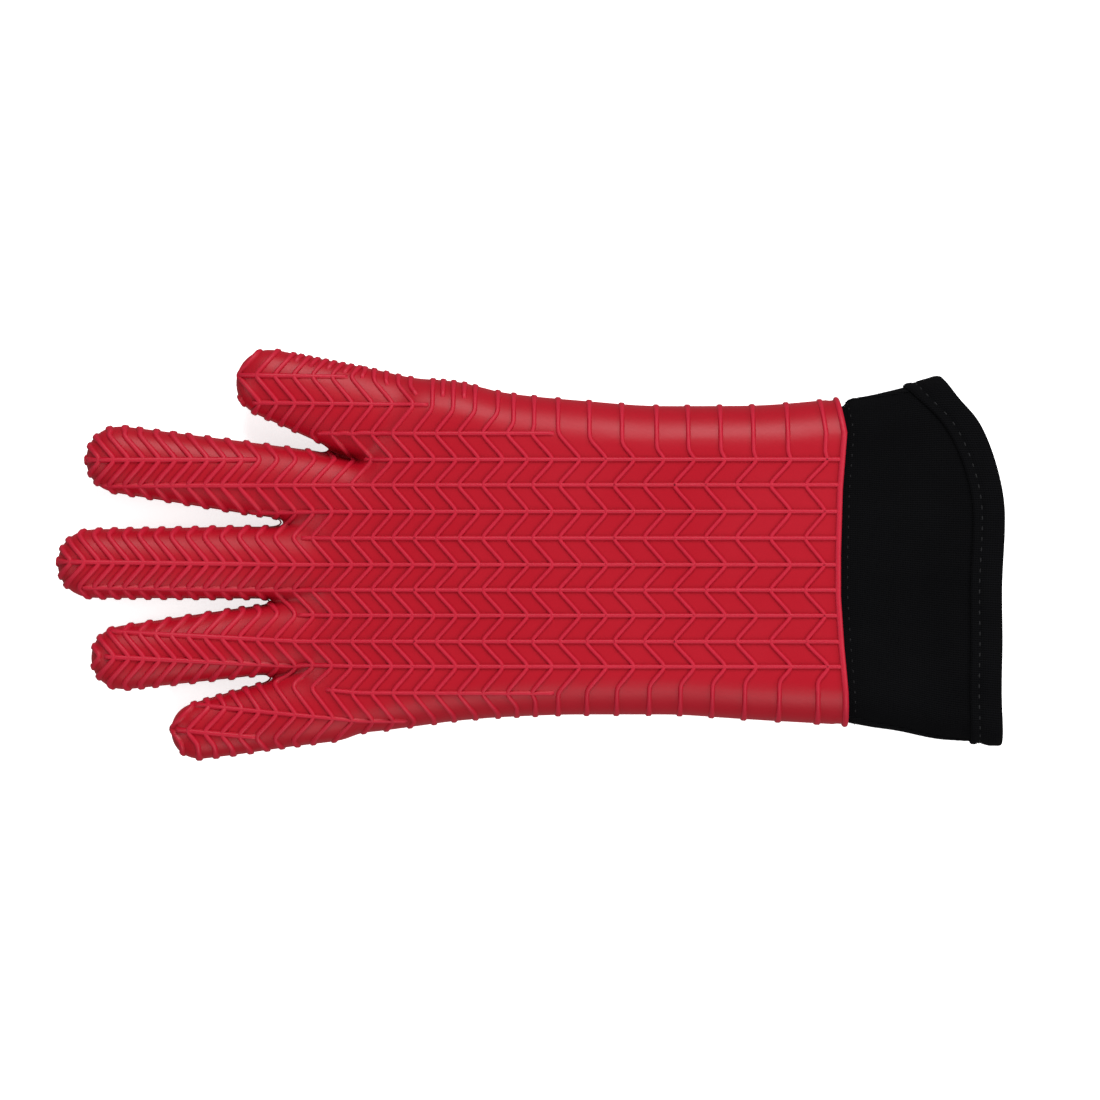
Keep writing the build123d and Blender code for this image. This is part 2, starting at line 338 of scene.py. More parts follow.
def slit(verts):
    """How far the narrow slit between the thumb and the index finger pulls the skin in, from both faces."""
    start, run = SLIT[0], SLIT[1] - SLIT[0]
    rel = verts[:, :2] - start
    share = np.clip(rel @ run / (run @ run), 0, 1)
    off = np.linalg.norm(rel - share[:, None] * run, axis=1)
    face = np.clip((verts[:, 2] - SLIT_MIDDLE) / 8, -1, 1)
    return SLIT_DEPTH * np.sqrt(share) * np.exp(-((off / SLIT_HALF) ** 2)) * face


def cut_planes():
    """Point and direction of every cut, with the finger it belongs to."""
    planes = [((WRIST_CUT, 0, 0), (1, 0, 0), None)]
    for finger in FINGER.values():
        for along in (finger.cut, finger.part):
            x, y = finger.root + finger.way * along
            planes.append(((x, y, 0), (finger.way[0], finger.way[1], 0), finger))
    return planes


def cut_mesh(mesh, end):
    """Cuts the skin along every plane that parts two pieces, and opens it at the cuff."""
    bm = bmesh.new()
    bm.from_mesh(mesh)
    for point, way, finger in cut_planes():
        near = list(bm.faces)
        if finger is not None:
            centres = np.array([f.calc_center_median() for f in bm.faces]) / MM
            along, side = finger.place(centres[:, :2])
            here = finger.along(point[:2])
            keep = (np.abs(along - here) < 6) & (np.abs(side) < finger.half(along) + 2.0)
            near = [f for f, k in zip(near, keep) if k]
        geom = set(near)
        for face in near:
            geom.update(face.edges)
            geom.update(face.verts)
        bmesh.ops.bisect_plane(
            bm, geom=list(geom), plane_co=Vector(point) * MM, plane_no=Vector(way), dist=1e-6
        )
    whole = list(bm.faces) + list(bm.edges) + list(bm.verts)
    bmesh.ops.bisect_plane(
        bm, geom=whole, plane_co=(end * MM, 0, 0), plane_no=(1, 0, 0), clear_outer=True, dist=1e-6
    )
    bmesh.ops.triangulate(bm, faces=bm.faces)
    bm.to_mesh(mesh)
    bm.free()


def arrays(mesh):
    """Vertices in millimetres, triangles and vertex normals."""
    verts = np.zeros(len(mesh.vertices) * 3)
    mesh.vertices.foreach_get("co", verts)
    normals = np.zeros(len(mesh.vertices) * 3)
    mesh.vertices.foreach_get("normal", normals)
    tris = np.zeros(len(mesh.polygons) * 3, int)
    mesh.polygons.foreach_get("vertices", tris)
    return verts.reshape(-1, 3) / MM, tris.reshape(-1, 3), normals.reshape(-1, 3)


# ---- Rib pattern -----------------------------------------------------------------------------

# y of the long ribs from the little finger's side up
LONG_Y = np.array(
    [-72.3, -62.5, -52.0, -42.1, -32.8, -23.1, -13.6, -4.2, 5.7, 15.6, 25.5, 35.0, 44.7, 55.4, 65.5, 75.7]
)
# the stretches of x along which each of them stands
LONG_X = [
    [(-133, -101)],
    [(-131, -44.5)],
    [(-77, 9.6)],
    [(-160, 116.2)],
    [(-160, 116.2)],
    [(-87, 116.2)],
    [(-168, 116.2)],
    [(-177, 116.2)],
    [(-86, 116.2)],
    [(-114, 116.2)],
    [(-162, 116.2)],
    [(-166, -101), (-62, 116.2)],
    [(-80, 10.3)],
    [(-104, -37.4)],
    [(-110, -67)],
    [],
]
# x of the cross ribs between long ribs, and their spacing further towards the fingertips
CROSS_X = [-4.4, 4.8, 15.0, 24.9, 35.2, 46.4, 57.6, 69.1, 80.7, 93.4, 106.6, 120.0, 133.5]
PITCH_X = [-190.0, -165.0, -90.0, -54.0, -32.0, -15.0, 4.0]
PITCH = [5.3, 5.4, 6.9, 7.7, 8.2, 9.0, 9.5]
ZIGZAG = 4.4
# where the zigzag gives way to straight ribs over the sides, as a place between the long ribs
THUMB_SIDE_X = [-67, -60, -41, -37, -11, -6.6, 2, 10.3, 45, 83, 120]
THUMB_SIDE = [15.0, 13.9, 13.6, 12.85, 12.7, 12.35, 12.15, 12.0, 11.4, 11.2, 11.2]
LITTLE_SIDE_X = [-44.5, -41, -34, -11, 2, 9.6, 45, 83, 120]
LITTLE_SIDE = [-0.5, 1.0, 1.15, 1.3, 1.8, 2.0, 2.3, 2.45, 2.45]


def cross_table():
    xs = list(CROSS_X)
    while xs[0] > -190:
        xs.insert(0, xs[0] - float(np.interp(xs[0] - 3, PITCH_X, PITCH)))
    return np.array(xs)


CROSS = cross_table()


def rib_lean(points):
    """How far the long ribs drift in y on fingers that lean."""
    x, y = points[:, 0], points[:, 1]
    past = np.maximum(0, -86.0 - x)
    ring_edge = -45.6 + 0.19 * (x + 86)
    middle = (y > -19 + 0.02 * (x + 86)) & (y < 11)
    ring = (y <= -19 + 0.02 * (x + 86)) & (y > ring_edge)
    lean = np.where(middle, 0.012 * past, 0) + np.where(ring, 0.047 * past, 0)
    share = np.clip((-38.5 - y) / 10.5, 0, 1)
    share = np.where(x < -86, y <= ring_edge, share * share * (3 - 2 * share))
    lean = lean + 0.09 * np.maximum(0, -63.3 - x) * share
    return lean + np.where(y > 45, 0.017 * np.maximum(0, -37.4 - x), 0)


def long_field(points):
    y = points[:, 1] - rib_lean(points)
    below, above = y < LONG_Y[0], y > LONG_Y[-1]
    field = np.interp(y, LONG_Y, np.arange(len(LONG_Y)))
    field = np.where(below, (y - LONG_Y[0]) / 9.8, field)
    return np.where(above, len(LONG_Y) - 1 + (y - LONG_Y[-1]) / 9.8, field)


def cross_field(points):
    x = points[:, 0]
    band = long_field(points)
    band = np.minimum(band, np.interp(x, THUMB_SIDE_X, THUMB_SIDE))
    band = np.maximum(band, np.interp(x, LITTLE_SIDE_X, LITTLE_SIDE))
    swing = np.abs(np.mod(band, 2) - 1)
    return np.interp(x + ZIGZAG * (2 * swing - 1), CROSS, np.arange(len(CROSS)))


def contours(verts, tris, normals, field, levels):
    """Lines on the surface where field passes each level: (level, points, normals, closed)."""
    found = []
    values = field[tris]
    low, high = values.min(1), values.max(1)
    for level in levels:
        picked = tris[(low < level) & (high >= level)]
        ends = {}
        links = {}
        for tri in picked:
            hit = []
            for a, b in ((tri[0], tri[1]), (tri[1], tri[2]), (tri[2], tri[0])):
                if (field[a] < level) != (field[b] < level):
                    key = (a, b) if a < b else (b, a)
                    hit.append(key)
                    ends[key] = None
            if len(hit) == 2:
                links.setdefault(hit[0], []).append(hit[1])
                links.setdefault(hit[1], []).append(hit[0])
        used = set()
        starts = [k for k in links if len(links[k]) == 1] + list(links)
        for start in starts:
            if start in used:
                continue
            line = [start]
            used.add(start)
            closed = False
            while True:
                onward = [k for k in links[line[-1]] if k not in used]
                if not onward:
                    closed = len(line) > 2 and start in links[line[-1]]
                    break
                line.append(onward[0])
                used.add(onward[0])
            if len(line) < 3:
                continue
            pairs = np.array(line)
            share = (level - field[pairs[:, 0]]) / (field[pairs[:, 1]] - field[pairs[:, 0]])
            share = share[:, None]
            at = verts[pairs[:, 0]] * (1 - share) + verts[pairs[:, 1]] * share
            up = normals[pairs[:, 0]] * (1 - share) + normals[pairs[:, 1]] * share
            found.append((level, at, up, closed))
    return found


def eased(rows, closed):
    """Rows averaged with their neighbours, which rounds off corners."""
    if closed:
        return (np.roll(rows, 1, 0) + 2 * rows + np.roll(rows, -1, 0)) / 4
    middle = (rows[:-2] + 2 * rows[1:-1] + rows[2:]) / 4
    return np.vstack([rows[:1], middle, rows[-1:]])


def even(points, normals, closed, step):
    """The same line with evenly spaced points."""
    if closed:
        points = np.vstack([points, points[:1]])
        normals = np.vstack([normals, normals[:1]])
    gaps = np.linalg.norm(np.diff(points, axis=0), axis=1)
    run = np.concatenate([[0], np.cumsum(gaps)])
    if run[-1] < 2 * step:
        return None
    count = max(3, int(round(run[-1] / step)))
    spots = np.linspace(0, run[-1], count + 1)
    at = np.array([np.interp(spots, run, points[:, i]) for i in range(3)]).T
    up = np.array([np.interp(spots, run, normals[:, i]) for i in range(3)]).T
    if closed:
        at, up = at[:-1], up[:-1]
    for _ in range(2):
        at, up = eased(at, closed), eased(up, closed)
    up /= np.linalg.norm(up, axis=1)[:, None]
    return at, up


def runs_where(keep, closed):
    """Stretches of a line where keep is true, as lists of indices, and whether it closes."""
    if keep.all():
        return [(list(range(len(keep))), closed)]
    order = list(range(len(keep)))
    if closed:
        gap = int(np.argmin(keep))
        order = order[gap:] + order[:gap]
    runs, now = [], []
    for i in order:
        if keep[i]:
            now.append(i)
        elif now:
            runs.append((now, False))
            now = []
    if now:
        runs.append((now, False))
    return [r for r in runs if len(r[0]) > 3]


# half section of a rib: to the side, and up
HALF_PROFILE = [(1.0, -0.15), (0.80, 0.22), (0.64, 0.64), (0.36, 0.88)]
PROFILE = [(-out, rise) for out, rise in HALF_PROFILE] + HALF_PROFILE[::-1]


def rib_widths(at, up, width):
    """Half widths of a rib along its line: broader round the sides, and on the fingers."""
    steep = 1 - np.clip(np.abs(up[:, 2]) / 0.75, 0, 1)
    finger = np.interp(at[:, 0], [-110, -80], [1.28, 1.06])
    return (width * finger * (1 + 0.55 * steep))[:, None]


def rib_strip(at, up, closed, width, height):
    """Points of a raised ridge along a line: one row of the profile at each point."""
    if closed:
        along = np.roll(at, -1, 0) - np.roll(at, 1, 0)
    else:
        along = np.gradient(at, axis=0)
    along /= np.maximum(np.linalg.norm(along, axis=1), 1e-9)[:, None]
    across = np.cross(along, up)
    across /= np.maximum(np.linalg.norm(across, axis=1), 1e-9)[:, None]
    rows = []
    lift = height * np.interp(at[:, 0], [-110, -80], [1.25, 1.05])
    if not closed:
        lift[0] = lift[-1] = 0.0
    wide = rib_widths(at, up, width)
    for out, rise in PROFILE:
        tall = np.where(rise > 0, rise * lift, rise - (lift == 0) * 0.2)
        rows.append(at + across * (out * wide) + up * tall[:, None])
    return np.stack(rows, 1)


class Builder:
    """Collects faces for one piece."""

    def __init__(self):
        self.verts, self.faces, self.rise = [], [], []
        self.count = 0

    def add(self, verts, faces, rise):
        self.verts.append(np.asarray(verts))
        self.faces.append(np.asarray(faces) + self.count)
        self.rise.append(np.broadcast_to(rise, (len(verts),)))
        self.count += len(verts)

    def strip(self, rows, closed, rise):
        """A strip through rows of points."""
        count, wide = rows.shape[:2]
        index = np.arange(count * wide).reshape(count, wide)
        if closed:
            index = np.vstack([index, index[:1]])
        quads = np.stack([index[:-1, :-1], index[:-1, 1:], index[1:, 1:], index[1:, :-1]], -1)
        self.add(rows.reshape(-1, 3), quads.reshape(-1, 4), np.tile(rise, count))

    def mesh(self, name):
        verts = np.vstack(self.verts) * MM
        faces = [tuple(f) for block in self.faces for f in block]
        mesh = bpy.data.meshes.new(name)
        mesh.from_pydata([tuple(v) for v in verts], [], faces)
        rise = mesh.attributes.new("rise", "FLOAT", "POINT")
        rise.data.foreach_set("value", np.concatenate(self.rise).astype(np.float32))
        mesh.shade_smooth()
        mesh.update()
        return mesh


PIECES = ["hand", "gauntlet"] + [f"{name}_{part}" for name in FINGER_NAMES for part in ("root", "tip")]


def split_faces(verts, tris):
    """The region of every triangle of the cut skin."""
    return region_of(verts[tris].mean(1))


def add_base(builders, verts, tris):
    regions = split_faces(verts, tris)
    for number, builder in enumerate(builders):
        mine = tris[regions == number]
        used, new = np.unique(mine, return_inverse=True)
        builder.add(verts[used], new.reshape(-1, 3), 0.0)


def add_strip(builders, at, up, closed, width, height):
    """A rib, shared out between the pieces that it crosses."""
    rows = rib_strip(at, up, closed, width, height)
    # how high each row of the profile stands; the silicone's colour turns it into a painted highlight on the
    # crests and painted shade at the feet
    rise = [max(0.0, r / 0.9) for _, r in PROFILE]
    count = len(at)
    after = [(i + 1) % count for i in range(count if closed else count - 1)]
    middles = (at[: len(after)] + at[after]) / 2
    regions = region_of(middles)
    if (regions == regions[0]).all():
        builders[regions[0]].strip(rows, closed, rise)
        return
    start = 0
    order = list(range(len(after)))
    if closed:
        turn = next(i for i in order if regions[i] != regions[i - 1])
        order = order[turn:] + order[:turn]
    while start < len(order):
        end = start
        while end + 1 < len(order) and regions[order[end + 1]] == regions[order[start]]:
            end += 1
        picked = [order[i] for i in range(start, end + 1)]
        picked.append((picked[-1] + 1) % count)
        builders[regions[order[start]]].strip(rows[picked], False, rise)
        start = end + 1


def add_lines(builders, surface, field, levels, keep, step=1.1, width=0.95, height=1.0, shortest=0):
    """Ribs where a field passes each level and keep(level, points, directions) is true."""
    for level, at, up, closed in contours(*surface, field, levels):
        made = even(at, up, closed, step)
        if made is None or len(made[0]) < shortest:
            continue
        at, up = made
        for picked, whole in runs_where(keep(level, at, up), closed):
            add_strip(builders, at[picked], up[picked], whole, width, height)


def on_long(level, at, up):
    """Where one long rib stands: on its stretches of x, and not over the glove's sides."""
    keep = np.zeros(len(at), bool)
    for first, last in LONG_X[level]:
        keep |= (at[:, 0] > first) & (at[:, 0] < last)
    return keep & (np.abs(up[:, 2]) > 0.34)


def on_thumb_side(_, at, up):
    """The thumb's outer side, where further ribs stand between the others."""
    return (at[:, 0] > -90) & (at[:, 0] < -22) & (at[:, 1] > 46) & (up[:, 1] > 0.55)


def add_ribs(builders, surface):
    cross = cross_field(surface[0])
    add_lines(builders, surface, cross, range(1, len(CROSS) - 2), lambda _, at, up: at[:, 0] < CUFF - 1.2)
    add_lines(builders, surface, cross, np.arange(1.5, len(CROSS) - 3), on_thumb_side)
    add_lines(builders, surface, long_field(surface[0]), range(len(LONG_Y)), on_long)


def parting_line(builders, surface):
    """The fine line that the mould leaves round the side of the glove."""
    verts = surface[0]
    middle = np.interp(verts[:, 0], HAND[:, 0], HAND[:, 3] / 2)
    for finger in FINGER.values():
        along, side = finger.place(verts[:, :2])
        share = np.clip((along - finger.cut + 6) / 12, 0, 1) * (np.abs(side) < finger.half(along) + 2.5)
        middle = middle * (1 - share) + finger.middle * share
    add_lines(
        builders, surface, verts[:, 2] - middle, [0.0], lambda _, at, up: at[:, 0] < CUFF - 2.5,
        step=1.5, width=0.4, height=0.28, shortest=31,
    )


def add_rim(builder, surface):
    """The bead round the open edge, and the silicone's thickness behind it."""
    loops = contours(*surface, surface[0][:, 0], [CUFF - 1.3])
    _, at, up, _ = max(loops, key=lambda l: len(l[1]))
    at, up = even(at, up, True, 1.2)
    up[:, 0] = 0
    up /= np.linalg.norm(up, axis=1)[:, None]
    way = np.array([1.0, 0, 0])
    turns = np.linspace(-0.62 * math.pi, 1.0 * math.pi, 11)
    rows = [at + way * (1.15 * math.sin(t)) + up * (1.15 * math.cos(t) + 0.05) for t in turns]
    rows.append(at + way * 0.9 - up * 2.1)
    rows.append(at - way * 12.0 - up * 2.1)
    rows = np.stack(rows, 1)
    # the bead takes the full painted highlight of the rib crests, and the thickness behind it the panels'
    # painted shade
    rise = [1.0] * len(turns) + [0.0, 0.0]
    builder.strip(rows, True, rise)


def wave_cuff(points):
    """Moves points near the cuff with the wandering edge."""
    share = np.clip((points[:, 0] - (CUFF - 26)) / 26, 0, 1)
    share = share * share * (3 - 2 * share)
    points[:, 0] += cuff_wave(points[:, 1]) * share
    return points


# ---- Materials -------------------------------------------------------------------------------


class Nodes:
    """A short way to write a material's node tree."""

    def __init__(self, name):
        self.material = bpy.data.materials.new(name)
        self.material.use_nodes = True
        self.tree = self.material.node_tree
        self.tree.nodes.clear()
        self.out = self.tree.nodes.new("ShaderNodeOutputMaterial")
        self.shader = self.tree.nodes.new("ShaderNodeBsdfPrincipled")
        self.tree.links.new(self.shader.outputs[0], self.out.inputs[0])

    def put(self, socket, value):
        if isinstance(value, bpy.types.NodeSocket):
            self.tree.links.new(value, socket)
        else:
            socket.default_value = value

    def node(self, kind, *values, out=0, **settings):
        node = self.tree.nodes.new(kind)
        for key, value in settings.items():
            setattr(node, key, value)
        for socket, value in zip(node.inputs, values):
            if value is not None:
                self.put(socket, value)
        return node.outputs[out]

    def math(self, operation, a, b=0.0, c=0.0):
        return self.node("ShaderNodeMath", a, b, c, operation=operation)

    def noise(self, where, scale, detail=3.0, rough=0.5):
        node = self.tree.nodes.new("ShaderNodeTexNoise")
        self.put(node.inputs["Vector"], where)
        node.inputs["Scale"].default_value = scale
        node.inputs["Detail"].default_value = detail
        node.inputs["Roughness"].default_value = rough
        return node.outputs["Fac"]

    def mix(self, share, a, b):
        node = self.tree.nodes.new("ShaderNodeMix")
        node.data_type = "RGBA"
        self.put(node.inputs["Factor"], share)
        self.put([s for s in node.inputs if s.name == "A" and s.type == "RGBA"][0], a)
        self.put([s for s in node.inputs if s.name == "B" and s.type == "RGBA"][0], b)
        return [s for s in node.outputs if s.type == "RGBA"][0]

    def scaled(self, value, low, high, to_low, to_high):
        node = self.tree.nodes.new("ShaderNodeMapRange")
        for socket, item in zip(node.inputs, (value, low, high, to_low, to_high)):
            self.put(socket, item)
        return node.outputs[0]

    def bump(self, height, distance, strength=1.0, normal=None):
        node = self.tree.nodes.new("ShaderNodeBump")
        node.inputs["Strength"].default_value = strength
        node.inputs["Distance"].default_value = distance
        self.put(node.inputs["Height"], height)
        if normal is not None:
            self.put(node.inputs["Normal"], normal)
        return node.outputs[0]

    def set(self, **values):
        for key, value in values.items():
            self.put(self.shader.inputs[key.replace("_", " ")], value)
        return self.material


def silicone_material():
    """Satin red silicone: rib crests painted lighter as a painted highlight, the panels between them painted
    deeper as painted shade, with random tone and a fine moulded grain.
    """
    n = Nodes("silicone_red")
    where = n.node("ShaderNodeTexCoord", out=3)
    rise = n.node("ShaderNodeAttribute", attribute_name="rise", out=2)
    cloud = n.noise(where, 22.0, 4.0, 0.55)
    grain = n.noise(where, 1500.0, 2.0, 0.6)
    speck = n.noise(where, 420.0, 3.0, 0.6)
    # the red with painted shade between the ribs, and the same red with a painted highlight for the crests
    shaded_panel = n.mix(cloud, (0.328, 0.0010, 0.0092, 1), (0.376, 0.0016, 0.0125, 1))
    lit_crest = n.mix(cloud, (0.415, 0.0064, 0.0255, 1), (0.465, 0.0095, 0.0320, 1))
    # painted highlight on the rib crests, by each point's height in its rib, varied at random by the speck
    # noise
    crest_highlight_share = n.math("MULTIPLY", rise, n.scaled(speck, 0.35, 0.7, 0.75, 1.0))
    rough = n.math("ADD", n.scaled(cloud, 0.3, 0.7, 0.40, 0.50), n.math("MULTIPLY", rise, 0.06))
    height = n.math("ADD", n.math("MULTIPLY", grain, 0.5), speck)
    return n.set(
        Base_Color=n.mix(crest_highlight_share, shaded_panel, lit_crest),
        Roughness=rough,
        Specular_IOR_Level=0.24,
        Normal=n.bump(height, 0.00006, 0.6),
    )


def knit_material(name, dark, light, rows, stitch, depth, spec=0.02):
    """Knit: fine ribs of stitches along the sleeve, each a chain of small loops, with a little fuzz; raised
    loops painted lighter and the grooves between them painted darker as painted shade.
    """
    n = Nodes(name)
    uv = n.node("ShaderNodeUVMap", uv_map="knit")
    split = n.tree.nodes.new("ShaderNodeSeparateXYZ")
    n.put(split.inputs[0], uv)
    u, v = split.outputs[0], split.outputs[1]
    where = n.node("ShaderNodeTexCoord", out=3)
    row = n.math("MULTIPLY", v, 2 * math.pi / rows)
    sway = n.math("MULTIPLY", n.noise(where, 60.0, 2.0), 1.6)
    row = n.math("ADD", row, sway)
    across = n.math("COSINE", row)
    turn = n.math("MULTIPLY", u, 2 * math.pi / stitch)
    chain = n.math("SINE", n.math("ADD", turn, n.math("MULTIPLY", across, 1.3)))
    fuzz = n.noise(where, 2600.0, 3.0, 0.7)
    patch = n.noise(where, 35.0, 4.0, 0.6)
    height = n.math("ADD", n.math("MULTIPLY", across, 0.6), n.math("MULTIPLY", chain, 0.3))
    height = n.math("ADD", height, n.math("MULTIPLY", fuzz, 0.5))
    # painted shade: the colour follows the knit's relief, darker in the grooves and lighter on the raised
    # loops, with real lint from the fuzz and random patches
    share = n.scaled(height, -0.7, 1.3, 0.0, 1.0)
    share = n.math("MULTIPLY", share, n.scaled(patch, 0.3, 0.7, 0.7, 1.15))
    return n.set(
        Base_Color=n.mix(share, dark, light),
        Roughness=n.scaled(fuzz, 0.3, 0.7, 0.82, 0.96),
        Specular_IOR_Level=spec,
        Sheen_Weight=0.006,
        Sheen_Roughness=0.5,
        Normal=n.bump(height, depth, 0.9),
    )


def thread_material():
    """Polyester thread with its twist."""
    n = Nodes("thread_grey")
    where = n.node("ShaderNodeTexCoord", out=3)
    twist = n.tree.nodes.new("ShaderNodeTexWave")
    twist.bands_direction = "DIAGONAL"
    n.put(twist.inputs["Vector"], where)
    twist.inputs["Scale"].default_value = 900.0
    twist.inputs["Distortion"].default_value = 2.0
    shade = twist.outputs["Fac"]
    lint = n.noise(where, 300.0, 2.0)
    tone = n.mix(shade, (0.0045, 0.0045, 0.0050, 1), (0.0120, 0.0120, 0.0130, 1))
    return n.set(
        Base_Color=n.mix(n.scaled(lint, 0.4, 0.7, 0.0, 0.6), tone, (0.0085, 0.0085, 0.0095, 1)),
        Roughness=0.7,
        Specular_IOR_Level=0.2,
        Normal=n.bump(shade, 0.0001, 0.6),
    )


SILICONE_RED = silicone_material()
FINE_KNIT = dict(rows=0.0008, stitch=0.0009, depth=0.00012)
SLEEVE_KNIT = knit_material(
    "knit_black", (0.0010, 0.0010, 0.0012, 1), (0.0044, 0.0044, 0.0050, 1), **FINE_KNIT
)
HEM_KNIT = knit_material("knit_hem", (0.0011, 0.0011, 0.0013, 1), (0.0048, 0.0048, 0.0055, 1), **FINE_KNIT)
LINER_KNIT = knit_material(
    "knit_liner", (0.028, 0.028, 0.030, 1), (0.085, 0.085, 0.088, 1), 0.0012, 0.0013, 0.0002, 0.1
)
THREAD_GREY = thread_material()


# ---- Pieces in fabric ------------------------------------------------------------------------

# x, lowest y, highest y, underside, top of the knit sleeve
SLEEVE = np.array(
    [
        (108.0, -60.6, 54.0, 3.0, 31.3),
        (117.4, -61.6, 55.2, 2.9, 31.4),
        (119.4, -63.4, 57.6, 2.7, 31.0),
        (124.0, -64.3, 59.0, 2.2, 30.0),
        (136.0, -66.2, 61.4, 1.4, 27.6),
        (156.0, -70.2, 66.5, 1.3, 26.0),
        (180.0, -72.4, 69.0, 1.3, 25.0),
    ]
)
MOUTH, MOUTH_RADIUS, MOUTH_TURN = 177.6, 73.6, 14.0
HEM_WIDTH = 11.4
FABRIC = 1.2


def tube_at(x, share, proud):
    """Points and outward directions on the sleeve, at x and a share of the way round."""
    low, high, bottom, top = smooth_table(SLEEVE, x).T
    radius = (top - bottom) / 2
    flat = high - low - 2 * radius
    girth = 2 * flat + 2 * math.pi * radius
    place = np.mod(share, 1.0) * girth
    first, second, third = flat, flat + math.pi * radius, 2 * flat + math.pi * radius
    turn = np.select(
        [place < first, place < second, place < third],
        [0 * place, (place - first) / radius, 0 * place + math.pi],
        math.pi + (place - third) / radius,
    )
    centre = np.select(
        [place < first, place < second, place < third],
        [-flat / 2 + place, flat / 2, flat / 2 - (place - second)],
        -flat / 2,
    )
    ny, nz = np.sin(turn), np.cos(turn)
    y = (low + high) / 2 + centre + radius * ny
    z = (bottom + top) / 2 + radius * nz
    crown = 0.7 * (1 - (2 * (y - (low + high) / 2) / (high - low)) ** 2) * np.maximum(nz, 0)
    wave = sag(x, y, z) * np.clip((x - 119) / 10, 0, 1)
    out = proud + wave
    return np.stack([x, y + ny * out, z + nz * out + crown], -1), np.stack([0 * x, ny, nz], -1)


def sag(x, y, z):
    """Soft unevenness of the knit, in millimetres."""
    wave = 0.30 * np.sin(x / 9.0 + y / 21.0 + z / 8.0) + 0.22 * np.sin(x / 17.0 - y / 13.0 + 1.3)
    return wave + 0.16 * np.sin(x / 5.1 + y / 33.0 - z / 6.0 + 0.6) - 0.35


def mouth_line(y, depth):
    """x of a line at a depth inside the sleeve's free edge."""
    rise = np.maximum(0, y - MOUTH_TURN)
    wander = 0.5 * np.sin(y / 17.0 + 0.5) + 0.25 * np.sin(y / 7.0)
    wander = wander - 1.7 * np.exp(-(((y - 58.5) / 6.0) ** 2))
    curve = np.sqrt((MOUTH_RADIUS - depth) ** 2 - np.minimum(rise, 60) ** 2)
    return MOUTH - 0.7 - MOUTH_RADIUS + curve + wander


def around(depth, share, proud):
    """Points on a line round the sleeve at a depth inside its free edge."""
    share = np.asarray(share, float)
    x = np.full(share.shape, 165.0)
    for _ in range(12):
        y = tube_at(x, share, 0.0)[0][:, 1]
        x = 0.5 * x + 0.5 * mouth_line(y, depth)
    return tube_at(x, share, proud)


def grid_mesh(name, grid, uv, closed_rows):
    """A mesh through rows of points that go round a tube; closed_rows joins the last row to the first."""
    rows, count = grid.shape[:2]
    index = np.arange(rows * count).reshape(rows, count)
    if closed_rows:
        index = np.vstack([index, index[:1]])
    after = np.roll(index, -1, 1)
    quads = np.stack([index[:-1], after[:-1], after[1:], index[1:]], -1).reshape(-1, 4)
    mesh = bpy.data.meshes.new(name)
    mesh.from_pydata([tuple(v) for v in grid.reshape(-1, 3) * MM], [], [tuple(q) for q in quads])
    layer = mesh.uv_layers.new(name="knit")
    flat_uv = uv.reshape(-1, 2)
    corners = flat_uv[quads.reshape(-1)].reshape(-1, 4, 2)
    girth = np.ptp(uv[..., 1]) * count / (count - 1)
    wrap = corners[:, :, 1] < corners[:, :, 1].max(1, keepdims=True) - girth / 2
    corners[:, :, 1] += wrap * girth
    layer.data.foreach_set("uv", corners.reshape(-1).astype(np.float32))
    mesh.shade_smooth()
    bm = bmesh.new()
    bm.from_mesh(mesh)
    bmesh.ops.recalc_face_normals(bm, faces=bm.faces)
    bm.to_mesh(mesh)
    bm.free()
    return mesh


GIRTH = 0.288


def sleeve_mesh():
    count, steps = 360, 56
    share = np.arange(count) / count
    edge, _ = around(1.3, share, 0.0)
    start = 109.0
    outer, inner, uvs = [], [], []
    for step in range(steps + 1):
        part = step / steps
        x = start + (edge[:, 0] - start) * part
        out, _ = tube_at(x, share, 0.0)
        into, _ = tube_at(x, share, -FABRIC)
        outer.append(out)
        inner.append(into)
        uvs.append(np.stack([x * MM, share * GIRTH], -1))
    grid = np.array(outer + inner[::-1])
    return grid_mesh("sleeve_knit", grid, np.array(uvs + uvs[::-1]), True)


# the hem's section: how far inside the free edge, and how far out from the sleeve
HEM_SECTION = [
    (11.7, -0.1), (12.0, 0.35), (11.85, 0.9), (11.3, 1.25), (10.4, 1.3), (9.5, 1.05),
    (8.75, 0.62), (8.45, 0.62), (7.7, 1.0), (6.4, 1.25), (4.6, 1.35), (2.8, 1.4),
    (1.4, 1.3), (0.5, 0.95), (0.05, 0.35), (-0.05, -0.4), (0.25, -1.1), (1.0, -1.6),
    (2.6, -1.8), (5.0, -1.75), (8.6, -1.55), (10.8, -1.7), (11.5, -1.4), (11.6, -0.7),
]


def hem_mesh():
    count = 420
    share = np.arange(count) / count
    grid, uvs = [], []
    run = 0.0
    last = HEM_SECTION[0]
    for depth, proud in HEM_SECTION:
        turn = share * 2 * math.pi
        swell = 0.18 * np.sin(turn * 9 + depth) + 0.1 * np.sin(turn * 23 + 2.0)
        puff = np.clip(1 - abs(depth - 5) / 7, 0, 1) * swell * (1 if proud > 0 else 0)
        at, _ = around(depth, share, proud + puff)
        grid.append(at)
        run += math.hypot(depth - last[0], proud - last[1])
        last = (depth, proud)
        uvs.append(np.stack([np.full(count, run * MM), share * GIRTH], -1))
    return grid_mesh("hem_knit", np.array(grid), np.array(uvs), True)


def cuff_line(share):
    """Points on the line of stitches that follows the silicone's edge."""
    y = tube_at(np.full(len(share), 119.0), share, 0)[0][:, 1]
    return tube_at(CUFF + 2.4 + cuff_wave(y), share, -0.05)


